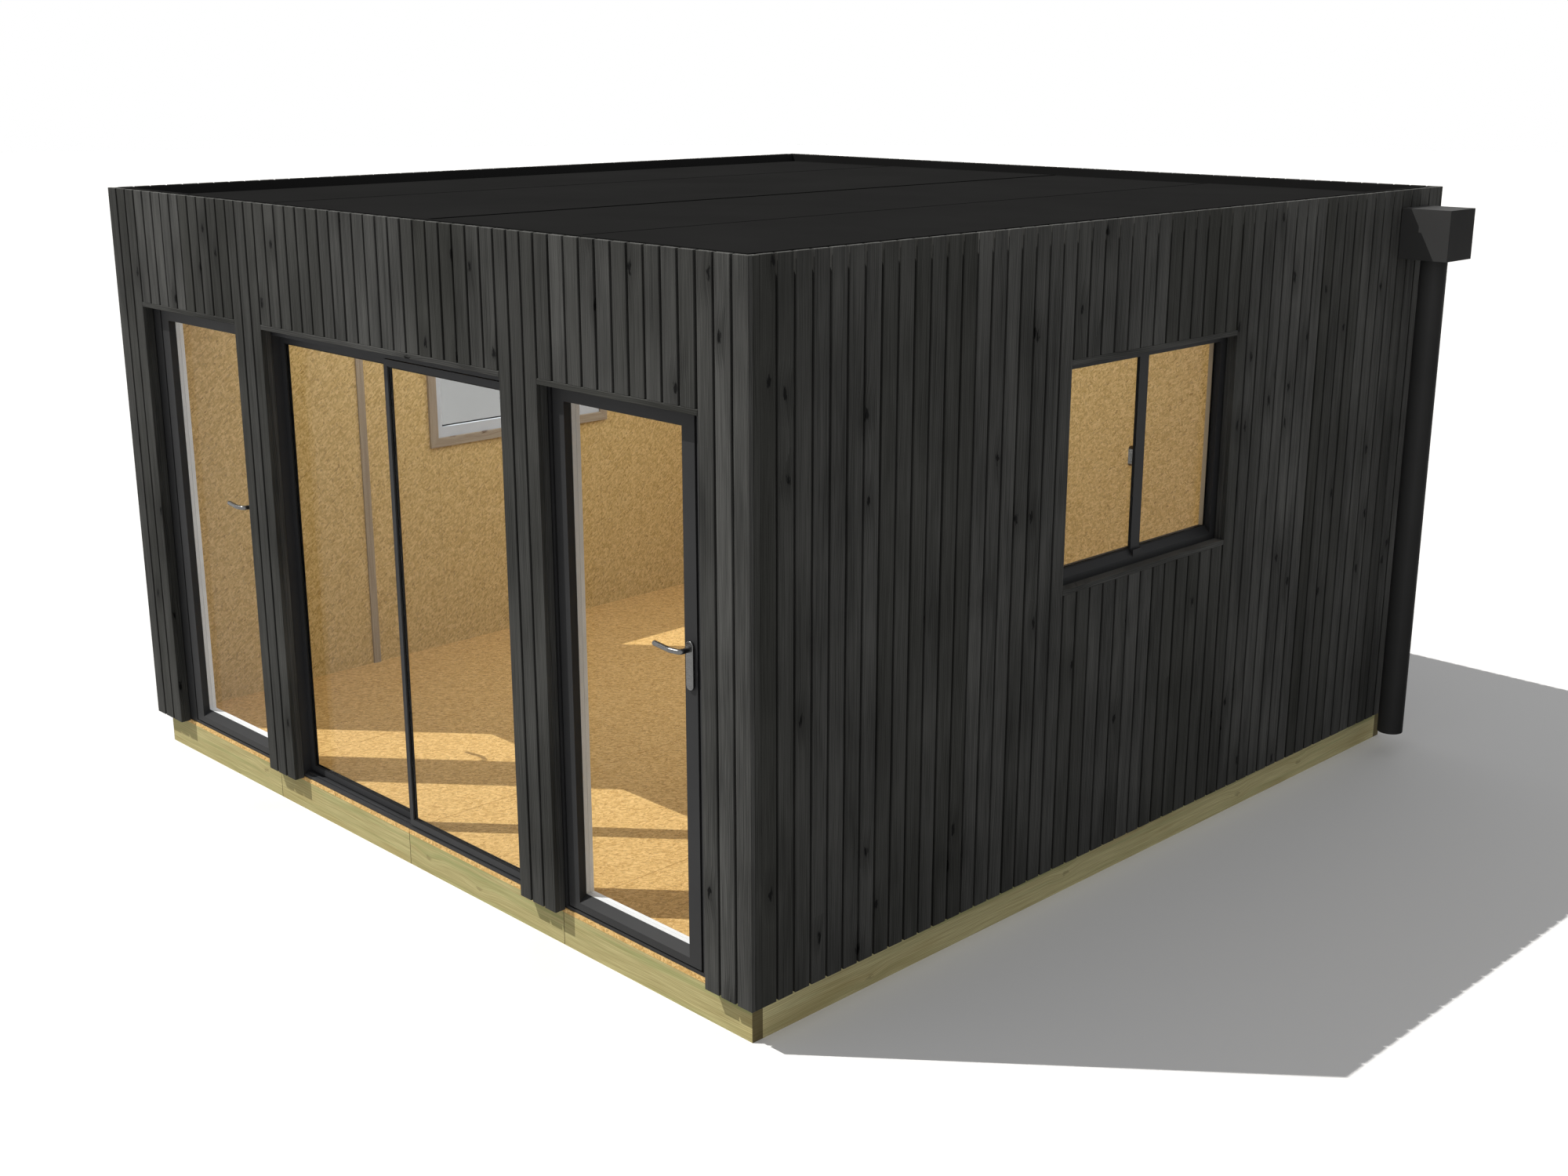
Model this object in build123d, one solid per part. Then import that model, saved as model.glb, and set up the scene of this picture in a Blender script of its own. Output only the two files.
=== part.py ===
from build123d import *
import os

# Garden annex: a timber-framed room on a treated timber base, clad in upright boards.
# All sizes are in millimetres. X runs along the front wall to the right, the front faces -Y,
# +Z is up, and the origin is the middle of the plan at ground level.

# Whole building
clad_width = 3957.0
clad_depth = 4108.0
overall_height = 2500.0
clad_thickness = 44.0
wall_thickness = 57.0
panel_joint = 1.0
cut_overrun = 20.0

# Cladding boards
board_pitch = 76.0
board_groove = 10.0
board_thickness = 18.0
edge_strip = 19.0

# Base
bearer_height = 127.0
bearer_thickness = 45.0
deck_thickness = 18.0
floor_bays = 4
bearer_joint = 2.0
clad_lap = 5.0

# Roof
parapet_height = 40.0
parapet_thickness = 20.0
membrane_thickness = 5.0
roof_thickness = 135.0

# Openings in the front cladding
head_drop = 485.0
end_pier = 222.0
middle_pier = 204.0
slider_opening_share = 0.498873
frame_recess = 4.0
frame_head_cover = 65.0

# Glazing units
unit_thickness = 24.0
unit_setback = 30.0
unit_bite = 12.0
groove_room = 3.0

# Hinged doors
door_side_cover = 29.5
door_shift = 23.5
door_glass_rise = 71.0
door_glass_drop = 52.0
door_stile = 58.0
door_jamb = 62.0
door_frame_depth = 46.0
leaf_body_depth = 52.0
leaf_gap = 11.0
flange_thickness = 18.0
flange_overlap = 10.0
threshold_height = 12.0
threshold_gap = 6.0
bead_fall = 26.0

# Door hinges
knuckle_radius = 8.0
pin_radius = 4.0
pin_clearance = 0.08
knuckle_rest = 0.3
hinge_side_gap = 2.0
leaf_knuckle_height = 26.0
frame_knuckle_height = 20.0
hinge_plate_thickness = 4.0
hinge_plate_reach = 34.0
hinge_height_shares = (0.1, 0.5, 0.9)

# Lever handles
handle_height = 1260.0
plate_length = 162.0
plate_width = 34.0
plate_thickness = 9.0
plate_edge = 3.0
plate_rise_share = 0.33
lever_stand_off = 46.0
lever_length = 128.0
lever_radius = 9.0
lever_bend = 14.0
lever_wave = 7.0

# Sliding door
slider_side_cover = 30.0
slider_jamb = 22.0
slider_sill = 12.0
slider_depth = 64.0
track_rib_height = 5.0
track_rib_width = 8.0
slider_leaf_depth = 24.0
outer_leaf_setback = 6.0
slider_leaf_gap = 7.0
slider_side_stile = 28.0
meeting_stile = 22.0
meeting_shift = 9.0
meeting_stagger = 48.9
interlock_lap = 12.0
interlock_reach = 10.0
interlock_thickness = 2.0
slider_rail = 25.0
slider_glass_drop = 57.0
slider_edge_gap = 6.0
rib_clearance = 0.3
slider_unit_thickness = 14.0
slider_unit_setback = 5.0
pull_length = 200.0
pull_width = 22.0
pull_thickness = 5.0
pull_edge = 2.0
pull_height = 1180.0

# Side windows
window_centre = -10.0
window_width = 1030.0
window_height = 828.0
window_head_lift = 2.0
window_head_cover = 26.0
window_stile = 32.0
window_rail = 51.0
window_mullion = 56.0
mullion_recess = 13.0
mullion_web_depth = 8.0
window_unit_thickness = 8.0
window_unit_setback = 22.0
window_depth = 54.0
trim_width = 45.0
trim_thickness = 15.0
window_handle_length = 76.0
window_handle_width = 26.0
window_handle_thickness = 20.0
window_handle_share = 0.48

# Joint strip on the left wall
strip_setback = 1008.0
strip_width = 38.0
strip_thickness = 8.0

# Rainwater goods on the right wall
hopper_corner_gap = 235.5
hopper_length = 213.0
hopper_projection = 217.0
hopper_drop = 282.0
hopper_height = 209.0
hopper_edge = 2.0
pipe_radius = 55.0
pipe_wall = 3.0
pipe_stand_off = 108.5
pipe_bottom = 110.0
collar_wall = 4.0
collar_height = 40.0
collar_clearance = 0.3

# Places worked out from the sizes above
half_width = clad_width / 2
half_depth = clad_depth / 2
wall_x = half_width - clad_thickness
wall_y = half_depth - clad_thickness
room_x = wall_x - wall_thickness
room_y = wall_y - wall_thickness
deck_top = bearer_height + deck_thickness
clad_bottom = deck_top - clad_lap
membrane_top = overall_height - parapet_height
roof_top = membrane_top - membrane_thickness
wall_top = roof_top - roof_thickness
frame_front = -wall_y + frame_recess
opening_head = overall_height - head_drop
frame_head_top = opening_head + frame_head_cover
clear_width = clad_width - 2 * (end_pier + middle_pier)
slider_opening_width = clear_width * slider_opening_share
slider_half = slider_opening_width / 2 + slider_side_cover
door_opening_width = (clear_width - slider_opening_width) / 2
door_clad_inner = slider_opening_width / 2 + middle_pier
door_clad_outer = door_clad_inner + door_opening_width
door_centre = (door_clad_inner + door_clad_outer) / 2 - door_shift
door_frame_half = door_opening_width / 2 + door_side_cover
door_leaf_half = door_frame_half - door_jamb - leaf_gap
door_glass_half = door_leaf_half - door_stile
window_low = window_centre - window_width / 2
window_high = window_centre + window_width / 2
window_clad_head = opening_head + window_head_lift
window_top = window_clad_head + window_head_cover
window_bottom = window_top - window_height


def slab(x0, x1, y0, y1, z0, z1):
    """A block between two corners."""
    centre = Pos((x0 + x1) / 2, (y0 + y1) / 2, (z0 + z1) / 2)
    return centre * Box(x1 - x0, y1 - y0, z1 - z0)


def upright_rod(x, y, z0, radius, height):
    """A round bar that stands on the height z0."""
    stand = (Align.CENTER, Align.CENTER, Align.MIN)
    return Pos(x, y, z0) * Cylinder(radius, height, align=stand)


def quarter_turn(shape, side):
    """Carries a window built in the front wall's manner round to a side wall."""
    return Rot(0, 0, side * 90) * shape


def save(name, *solids):
    """Writes one node, of one solid or of several that stand apart."""
    shape = solids[0] if len(solids) == 1 else Compound(children=list(solids))
    shape.label = name
    export_step(shape, "parts/" + name + ".step")


def cut_pane(frame, pane, y0, y1, unit_y, unit_depth):
    """Opens a frame for one pane and cuts the groove that holds its glass unit."""
    left, right, low, high = pane
    groove = unit_bite + groove_room
    frame -= slab(left, right, y0 - cut_overrun, y1 + cut_overrun, low, high)
    frame -= slab(left - groove, right + groove, unit_y, unit_y + unit_depth,
                  low - groove, high + groove)
    return frame


def glazed_ring(x0, x1, z0, z1, y0, y1, panes, unit_y, unit_depth):
    """A welded frame with one glazed opening for each pane."""
    ring = slab(x0, x1, y0, y1, z0, z1)
    for pane in panes:
        ring = cut_pane(ring, pane, y0, y1, unit_y, unit_depth)
    return ring


def glass_units(panes, unit_y, unit_depth):
    """Sealed units that reach into the grooves and stand on their lower edges' packers."""
    units = []
    for left, right, low, high in panes:
        low_edge = low - unit_bite - groove_room
        units.append(slab(left - unit_bite, right + unit_bite, unit_y, unit_y + unit_depth,
                          low_edge, high + unit_bite))
    return units


def weathered(ring, pane, y0, unit_y):
    """Slopes the rail below a pane outwards so that rain runs off it."""
    left, right, low, _ = pane
    fall = Plane.YZ * Polygon((y0, low - bead_fall), (unit_y, low), (y0 - cut_overrun, low),
                              (y0 - cut_overrun, low - bead_fall), align=None)
    wedge = Pos(left, 0, 0) * extrude(fall, right - left)
    return ring - wedge


os.makedirs("parts", exist_ok=True)


# Base of bearers and joists under a board deck
def bearer_row(y0, y1):
    """Bearers butted end to end, one for each floor bay."""
    bay = 2 * wall_x / floor_bays
    row = []
    for index in range(floor_bays):
        start = -wall_x + index * bay
        gap_left = bearer_joint / 2 if index else 0
        gap_right = bearer_joint / 2 if index < floor_bays - 1 else 0
        row.append(slab(start + gap_left, start + bay - gap_right, y0, y1, 0, bearer_height))
    return row


def floor_joists():
    """One joist behind each joint of the front bearers."""
    bay = 2 * wall_x / floor_bays
    reach = wall_y - bearer_thickness
    joists = []
    for index in range(1, floor_bays):
        middle = -wall_x + index * bay
        joists.append(slab(middle - bearer_thickness / 2, middle + bearer_thickness / 2, -reach, reach,
                           0, bearer_height))
    return joists


bearer_reach = wall_y - bearer_thickness
save("front_bearers", *bearer_row(-wall_y, -bearer_reach))
save("back_bearers", *bearer_row(bearer_reach, wall_y))
left_bearer = slab(-wall_x, -wall_x + bearer_thickness, -bearer_reach, bearer_reach, 0, bearer_height)
right_bearer = slab(wall_x - bearer_thickness, wall_x, -bearer_reach, bearer_reach, 0, bearer_height)
save("side_bearers", left_bearer, right_bearer)
save("floor_joists", *floor_joists())
save("floor_deck", slab(-wall_x, wall_x, -wall_y, wall_y, bearer_height, deck_top))


# Walls: framed panels lined inside with board
def front_piers(edges, y0, y1, z0, z1):
    """Upright lengths of the front wall on both sides of the middle."""
    piers = []
    for near, far in edges:
        piers.append(slab(near, far, y0, y1, z0, z1))
        piers.append(slab(-far, -near, y0, y1, z0, z1))
    return piers


def side_wall(side, x_in, x_out, y_reach, z0, z1, head):
    """Four slabs round the window of a side wall, a joint apart."""
    near, far = sorted((side * x_in, side * x_out))
    front = slab(near, far, -y_reach, window_low, z0, z1)
    back = slab(near, far, window_high, y_reach, z0, z1)
    sill = slab(near, far, window_low + panel_joint, window_high - panel_joint, z0, window_bottom)
    over = slab(near, far, window_low + panel_joint, window_high - panel_joint, head, z1)
    return front, back, sill, over


wall_edges = ((slider_half, door_centre - door_frame_half), (door_centre + door_frame_half, wall_x))
save("front_wall_piers", *front_piers(wall_edges, -wall_y, -room_y, deck_top, frame_head_top))
save("front_wall_header", slab(-wall_x, wall_x, -wall_y, -room_y, frame_head_top, wall_top))
save("back_wall", slab(-wall_x, wall_x, room_y, wall_y, deck_top, wall_top))
save("left_wall", *side_wall(-1, room_x, wall_x, room_y, deck_top, wall_top, window_top))
save("right_wall", *side_wall(1, room_x, wall_x, room_y, deck_top, wall_top, window_top))


# Cladding of upright boards on battens, in stretches between the openings.
# Each stretch is drawn as if on the front, with its boards towards -Y.
def cut_grooves(wall, face, start, pitch, number, low, high):
    """Cuts a row of open joints between boards."""
    lefts = [start + index * pitch for index in range(number)]
    return wall - [slab(left, left + board_groove, face - cut_overrun, face + board_thickness, low, high)
                   for left in lefts]


def full_boards(face, start, end):
    """A stretch of full-height boards with a board at each end."""
    wall = slab(start, end, face, face + clad_thickness, clad_bottom, overall_height)
    length = end - start + board_groove
    count = max(1, round(length / board_pitch))
    pitch = length / count
    return cut_grooves(wall, face, start + pitch - board_groove, pitch, count - 1,
                       clad_bottom - cut_overrun, overall_height + cut_overrun)


def short_boards(face, start, end, low, high, groove_low, groove_high):
    """A stretch over or under an opening, between grooves, closed by a level strip at the opening."""
    wall = slab(start + panel_joint, end - panel_joint, face, face + clad_thickness, low, high)
    length = end - start - board_groove
    count = max(1, round(length / board_pitch))
    return cut_grooves(wall, face, start, length / count, count + 1, groove_low, groove_high)


def boards_over(face, start, end, low):
    """Boards from a strip over an opening up to the parapet."""
    return short_boards(face, start, end, low, overall_height, low + edge_strip,
                        overall_height + cut_overrun)


def side_cladding(side):
    """Four stretches round the window of a side wall."""
    low, high = sorted((side * window_low, side * window_high))
    face = -half_width
    stretches = (full_boards(face, -wall_y, low), full_boards(face, high, wall_y),
                 short_boards(face, low, high, clad_bottom, window_bottom, clad_bottom - cut_overrun,
                              window_bottom - edge_strip),
                 boards_over(face, low, high, window_clad_head))
    return [quarter_turn(stretch, side) for stretch in stretches]


slider_clad = slider_opening_width / 2
pier_spans = ((-half_width, -door_clad_outer), (-door_clad_inner, -slider_clad),
              (slider_clad, door_clad_inner), (door_clad_outer, half_width))
head_spans = ((-door_clad_outer, -door_clad_inner), (-slider_clad, slider_clad),
              (door_clad_inner, door_clad_outer))
save("front_cladding_piers", *[full_boards(-half_depth, start, end) for start, end in pier_spans])
save("front_cladding_heads",
     *[boards_over(-half_depth, start, end, opening_head) for start, end in head_spans])
save("back_cladding", Rot(0, 0, 180) * full_boards(-half_depth, -half_width, half_width))
save("left_cladding", *side_cladding(-1))
save("right_cladding", *side_cladding(1))

# Flat roof behind a low parapet
save("roof_deck", slab(-wall_x, wall_x, -wall_y, wall_y, wall_top, roof_top))
save("roof_membrane", slab(-wall_x, wall_x, -wall_y, wall_y, roof_top, membrane_top))
inner_x = wall_x - parapet_thickness
inner_y = wall_y - parapet_thickness
save("parapet_upstands",
     slab(-wall_x, wall_x, -wall_y, -inner_y, membrane_top, overall_height),
     slab(-wall_x, wall_x, inner_y, wall_y, membrane_top, overall_height),
     slab(-wall_x, -inner_x, -inner_y + panel_joint, inner_y - panel_joint, membrane_top, overall_height),
     slab(inner_x, wall_x, -inner_y + panel_joint, inner_y - panel_joint, membrane_top, overall_height))

# Hinged doors, opening into the room on left-hand hinges
leaf_bottom = deck_top + threshold_height + threshold_gap
door_glass_bottom = deck_top + door_glass_rise
door_glass_top = opening_head - door_glass_drop
leaf_top = door_glass_top + door_stile
leaf_inner_face = frame_front + leaf_body_depth + flange_thickness
frame_inner_face = frame_front + door_frame_depth
door_unit_y = frame_front + unit_setback
hinge_y = leaf_inner_face


def door_frame(centre):
    """Two jambs, a head and a flat threshold, welded into one frame."""
    outer = slab(centre - door_frame_half, centre + door_frame_half, frame_front, frame_inner_face,
                 deck_top, frame_head_top)
    clear = door_leaf_half + leaf_gap
    opening = slab(centre - clear, centre + clear, frame_front - cut_overrun,
                   frame_inner_face + cut_overrun, deck_top + threshold_height, leaf_top + leaf_gap)
    return outer - opening


def door_leaf(centre, pane):
    """A welded leaf whose inner flange laps over the frame and covers the running gap."""
    body = slab(centre - door_leaf_half, centre + door_leaf_half, frame_front,
                frame_front + leaf_body_depth, leaf_bottom, leaf_top)
    lap = leaf_gap + flange_overlap
    flange = slab(centre - door_leaf_half - lap, centre + door_leaf_half + lap,
                  frame_front + leaf_body_depth, leaf_inner_face, leaf_bottom, leaf_top + lap)
    leaf = cut_pane(body + flange, pane, frame_front, leaf_inner_face, door_unit_y, unit_thickness)
    return weathered(leaf, pane, frame_front, door_unit_y)


def hinge_places():
    """Heights of the leaf knuckles' lower ends."""
    span = leaf_top - leaf_bottom
    return [leaf_bottom + share * span - leaf_knuckle_height / 2 for share in hinge_height_shares]


def hinge_pin(axis_x, low):
    """Frame half of a hinge: a bracket, two barrels and the pin between them."""
    barrel_low = low - knuckle_rest - frame_knuckle_height
    upper = low + leaf_knuckle_height + knuckle_rest
    whole = 2 * frame_knuckle_height + leaf_knuckle_height + 2 * knuckle_rest
    pin = upright_rod(axis_x, hinge_y, barrel_low, pin_radius, whole)
    for start in (barrel_low, upper):
        pin += upright_rod(axis_x, hinge_y, start, knuckle_radius, frame_knuckle_height)
        pin += slab(axis_x - knuckle_radius, axis_x, frame_inner_face, hinge_y,
                    start, start + frame_knuckle_height)
    return pin


def hinge_knuckle(axis_x, low):
    """Leaf half of a hinge: a bored barrel on a plate screwed to the leaf."""
    barrel = upright_rod(axis_x, hinge_y, low, knuckle_radius, leaf_knuckle_height)
    plate = slab(axis_x, axis_x + knuckle_radius + hinge_side_gap + hinge_plate_reach,
                 hinge_y, hinge_y + hinge_plate_thickness, low, low + leaf_knuckle_height)
    bore = upright_rod(axis_x, hinge_y, low, pin_radius + pin_clearance, leaf_knuckle_height)
    return barrel + plate - bore


def lever_handle():
    """A lever on a long plate, standing on the XZ plane and reaching out towards -Y."""
    outline = Plane.XZ * (Rot(0, 0, 90) * SlotOverall(plate_length, plate_width))
    plate = extrude(outline, plate_thickness)
    front_face = plate.faces().sort_by(Axis.Y)[0]
    plate = fillet(front_face.edges(), plate_edge)
    grip_start = -lever_length * plate_rise_share
    route = FilletPolyline((0, 0, 0), (0, -lever_stand_off, 0),
                           (grip_start, -lever_stand_off - lever_wave, 0),
                           (-lever_length, -lever_stand_off + lever_wave, 0), radius=lever_bend)
    section = Plane(origin=route @ 0, z_dir=route % 0) * Circle(lever_radius)
    lever = sweep(section, path=route)
    tip = Pos(*(route @ 1)) * Sphere(lever_radius)
    raised = Pos(0, 0, plate_length * plate_rise_share) * (lever + tip)
    keep = slab(-2 * lever_length, 2 * lever_length, -2 * lever_length, 0, -lever_length, 2 * lever_length)
    return (plate + raised) & keep


def door_handles(centre):
    """The outer and the inner lever handle of one door, on the stile away from the hinges."""
    plate_x = centre + door_glass_half + door_stile / 2
    plate_z = handle_height - plate_length * plate_rise_share
    handle = lever_handle()
    outside = Pos(plate_x, frame_front, plate_z) * handle
    inside = Pos(plate_x, leaf_inner_face, plate_z) * mirror(handle, about=Plane.XZ)
    return outside, inside


for side_name, centre in (("left", -door_centre), ("right", door_centre)):
    door_pane = (centre - door_glass_half, centre + door_glass_half, door_glass_bottom, door_glass_top)
    lap_edge = centre - door_leaf_half - leaf_gap - flange_overlap
    axis_x = lap_edge - hinge_side_gap - knuckle_radius
    save(side_name + "_door_frame", door_frame(centre))
    save(side_name + "_door_leaf", door_leaf(centre, door_pane))
    save(side_name + "_door_glass", *glass_units([door_pane], door_unit_y, unit_thickness))
    save(side_name + "_door_handles", *door_handles(centre))
    save(side_name + "_door_hinge_pins", *[hinge_pin(axis_x, low) for low in hinge_places()])
    save(side_name + "_door_hinge_knuckles", *[hinge_knuckle(axis_x, low) for low in hinge_places()])

# Two-track sliding door in the middle of the front
sill_top = deck_top + slider_sill
slider_back = frame_front + slider_depth
outer_leaf_y = frame_front + outer_leaf_setback
inner_leaf_y = outer_leaf_y + slider_leaf_depth + slider_leaf_gap
slider_leaf_bottom = sill_top + track_rib_height + rib_clearance
slider_glass_top = opening_head - slider_glass_drop
slider_leaf_top = slider_glass_top + slider_rail
slider_inner_half = slider_half - slider_jamb
meeting_left = meeting_shift - meeting_stile / 2
meeting_right = meeting_shift + meeting_stile / 2
fixed_right = meeting_right - meeting_stagger
outer_unit_y = outer_leaf_y + slider_unit_setback
inner_unit_y = inner_leaf_y + slider_unit_setback


def slider_frame():
    """The outer frame with a rib along the sill under each leaf."""
    frame = slab(-slider_half, slider_half, frame_front, slider_back, deck_top, frame_head_top)
    frame -= slab(-slider_inner_half, slider_inner_half, frame_front - cut_overrun,
                  slider_back + cut_overrun, sill_top, slider_leaf_top + slider_edge_gap)
    for leaf_y in (outer_leaf_y, inner_leaf_y):
        middle = leaf_y + slider_leaf_depth / 2
        frame += slab(-slider_inner_half, slider_inner_half, middle - track_rib_width / 2,
                      middle + track_rib_width / 2, sill_top, sill_top + track_rib_height)
    return frame


def slider_pane(left, right):
    """The glass opening of one leaf."""
    return left, right, slider_leaf_bottom + slider_rail, slider_glass_top


fixed_pane = slider_pane(-slider_inner_half + slider_side_stile, fixed_right - meeting_stile)
sliding_pane = slider_pane(meeting_right, slider_inner_half - slider_edge_gap - slider_side_stile)
save("slider_frame", slider_frame())
fixed_leaf = glazed_ring(-slider_inner_half, fixed_right,
                         slider_leaf_bottom - rib_clearance, slider_leaf_top,
                         inner_leaf_y, inner_leaf_y + slider_leaf_depth, [fixed_pane],
                         inner_unit_y, slider_unit_thickness)
interlock = slab(fixed_right - interlock_lap, meeting_left + interlock_reach,
                 inner_leaf_y - interlock_thickness, inner_leaf_y, slider_leaf_bottom, slider_leaf_top)
save("fixed_leaf", fixed_leaf + interlock)
save("fixed_leaf_glass", *glass_units([fixed_pane], inner_unit_y, slider_unit_thickness))
sliding_leaf = glazed_ring(meeting_left, slider_inner_half - slider_edge_gap,
                           slider_leaf_bottom, slider_leaf_top,
                           outer_leaf_y, outer_leaf_y + slider_leaf_depth, [sliding_pane],
                           outer_unit_y, slider_unit_thickness)
save("sliding_leaf", sliding_leaf)
save("sliding_leaf_glass", *glass_units([sliding_pane], outer_unit_y, slider_unit_thickness))


def slider_pull():
    """A slim upright pull bar with rounded ends, standing on the XZ plane towards -Y."""
    outline = Plane.XZ * (Rot(0, 0, 90) * SlotOverall(pull_length, pull_width))
    bar = extrude(outline, pull_thickness)
    return fillet(bar.faces().sort_by(Axis.Y)[0].edges(), pull_edge)


pull_x = slider_inner_half - slider_edge_gap - slider_side_stile / 2
save("sliding_leaf_pulls",
     Pos(pull_x, outer_leaf_y, pull_height) * slider_pull(),
     Pos(pull_x, outer_leaf_y + slider_leaf_depth, pull_height) * mirror(slider_pull(), about=Plane.XZ))

# Side windows, each drawn as if in a front wall and then turned to its side
window_face = -wall_x + frame_recess
window_unit_y = window_face + window_unit_setback
mullion_web = window_mullion - 2 * (unit_bite + groove_room)
web_inner_y = window_unit_y + window_unit_thickness + mullion_web_depth


def window_panes(low, high):
    """The two glass openings beside the mullion."""
    middle = (low + high) / 2
    bottom = window_bottom + window_rail
    top = window_top - window_rail
    return ((low + window_stile, middle - window_mullion / 2, bottom, top),
            (middle + window_mullion / 2, high - window_stile, bottom, top))


def slim_mullion(frame, low, high):
    """Sets the mullion's cap back from the frame and leaves only a short web behind the glass."""
    middle = (low + high) / 2
    bottom = window_bottom + window_rail
    top = window_top - window_rail
    half = window_mullion / 2
    inner_face = window_face + window_depth
    frame -= slab(middle - half, middle + half, window_face - cut_overrun, window_face + mullion_recess,
                  bottom, top)
    frame -= slab(middle - half, middle + half, web_inner_y, inner_face + cut_overrun, bottom, top)
    for start, end in ((-half, -mullion_web / 2), (mullion_web / 2, half)):
        frame -= slab(middle + start, middle + end, window_unit_y + window_unit_thickness,
                      inner_face + cut_overrun, bottom, top)
    return frame


def window_trim(low, high):
    """Pine boards round the inside of a window, mitred into one ring."""
    y0 = -room_x
    ring = slab(low - trim_width, high + trim_width, y0, y0 + trim_thickness,
                window_bottom - trim_width, window_top + trim_width)
    return ring - slab(low, high, y0 - cut_overrun, y0 + trim_thickness + cut_overrun,
                       window_bottom, window_top)


def window_handle(low, high):
    """A small turning handle inside, on the web of the mullion."""
    middle = (low + high) / 2
    outline = Plane.XZ * (Rot(0, 0, 90) * SlotOverall(window_handle_length, window_handle_width))
    bar = mirror(extrude(outline, window_handle_thickness), about=Plane.XZ)
    bar = fillet(bar.faces().sort_by(Axis.Y)[-1].edges(), plate_edge)
    return Pos(middle, web_inner_y, window_bottom + window_handle_share * window_height) * bar


trims = []
turn_handles = []
for side_name, side in (("left", -1), ("right", 1)):
    low, high = sorted((side * window_low, side * window_high))
    panes = window_panes(low, high)
    frame = glazed_ring(low, high, window_bottom, window_top, window_face, window_face + window_depth,
                        panes, window_unit_y, window_unit_thickness)
    for pane in panes:
        frame = weathered(frame, pane, window_face, window_unit_y)
    frame = slim_mullion(frame, low, high)
    save(side_name + "_window_frame", quarter_turn(frame, side))
    units = glass_units(panes, window_unit_y, window_unit_thickness)
    save(side_name + "_window_glass", *[quarter_turn(unit, side) for unit in units])
    trims.append(quarter_turn(window_trim(low, high), side))
    turn_handles.append(quarter_turn(window_handle(low, high), side))
save("window_trims", *trims)
save("window_handles", *turn_handles)

# Cover strip over the panel joint of the left wall, inside
strip_centre = -room_y + strip_setback
save("left_wall_strip", slab(-room_x, -room_x + strip_thickness, strip_centre - strip_width / 2,
                             strip_centre + strip_width / 2, deck_top, wall_top))

# Rain hopper with an outlet collar, and its downpipe
pipe_x = half_width + pipe_stand_off
hopper_y = half_depth - hopper_corner_gap
hopper_bottom = overall_height - hopper_drop
collar_bottom = hopper_bottom - collar_height
collar_radius = pipe_radius - pipe_wall - collar_clearance
box = slab(half_width, half_width + hopper_projection, hopper_y - hopper_length / 2,
           hopper_y + hopper_length / 2, hopper_bottom, hopper_bottom + hopper_height)
box = fillet(box.edges().filter_by(Axis.Z).sort_by(Axis.X)[-2:], hopper_edge)
collar = upright_rod(pipe_x, hopper_y, collar_bottom, collar_radius, collar_height)
waterway = upright_rod(pipe_x, hopper_y, collar_bottom, collar_radius - collar_wall, collar_height)
save("rain_hopper", box + collar - waterway)
pipe_length = hopper_bottom - pipe_bottom
tube = upright_rod(pipe_x, hopper_y, pipe_bottom, pipe_radius, pipe_length)
bore = upright_rod(pipe_x, hopper_y, pipe_bottom, pipe_radius - pipe_wall, pipe_length)
save("downpipe", tube - bore)
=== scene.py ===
# %% [markdown]
# Garden annex: dressing the imported model.
# The construction comes from the CAD frame, in metres, with the front towards -Y and the ground at z = 0.
# This lesson adds what the frame leaves plain: upright boards, trims, roof sheets, seals and finishes.
# The frame is loaded first, and the boxes of its parts give the sizes of the new pieces. The dressed
# building may not outgrow it.

# %% Load the frame
import math
import random

import bmesh
import bpy
from mathutils import Matrix, Vector


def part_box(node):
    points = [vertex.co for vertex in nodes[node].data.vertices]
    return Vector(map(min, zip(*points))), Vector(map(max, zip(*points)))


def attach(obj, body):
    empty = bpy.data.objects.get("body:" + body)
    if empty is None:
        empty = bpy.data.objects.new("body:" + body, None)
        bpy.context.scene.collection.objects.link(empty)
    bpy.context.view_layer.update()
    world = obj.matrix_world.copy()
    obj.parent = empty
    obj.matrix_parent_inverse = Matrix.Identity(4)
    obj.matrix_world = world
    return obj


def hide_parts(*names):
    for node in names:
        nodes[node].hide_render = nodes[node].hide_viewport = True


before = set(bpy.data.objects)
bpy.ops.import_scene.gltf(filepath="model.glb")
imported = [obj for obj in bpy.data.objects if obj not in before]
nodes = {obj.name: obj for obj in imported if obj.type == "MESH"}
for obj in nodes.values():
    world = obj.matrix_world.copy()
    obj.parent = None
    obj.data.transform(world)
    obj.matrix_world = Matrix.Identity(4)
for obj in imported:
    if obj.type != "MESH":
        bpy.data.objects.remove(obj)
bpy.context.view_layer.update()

# %% [markdown]
# The camera stands where the photograph was taken from.
# A camera could be placed by eye, but here the building's own corners gave its place, heading and lens,
# so edges of the render fall on edges of the picture and every later comparison is fair.

# %% Camera
def add_object(name, data):
    added = bpy.data.objects.new(name, data)
    bpy.context.scene.collection.objects.link(added)
    return added


view_camera = bpy.data.cameras.new("photo_camera")
view_camera.sensor_fit = "HORIZONTAL"
view_camera.sensor_width = 36.0
view_camera.lens = 42.7525
camera_object = add_object("photo_camera", view_camera)
camera_pitch = math.radians(15.938)
camera_yaw = math.radians(45.4235)
camera_object.location = (5.8004, -5.6787, 3.0365)
camera_object.rotation_euler = (math.pi / 2 - camera_pitch, 0.0, camera_yaw)
bpy.context.scene.camera = camera_object
print("camera:", tuple(round(v, 3) for v in camera_object.location), "lens", view_camera.lens)

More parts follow.
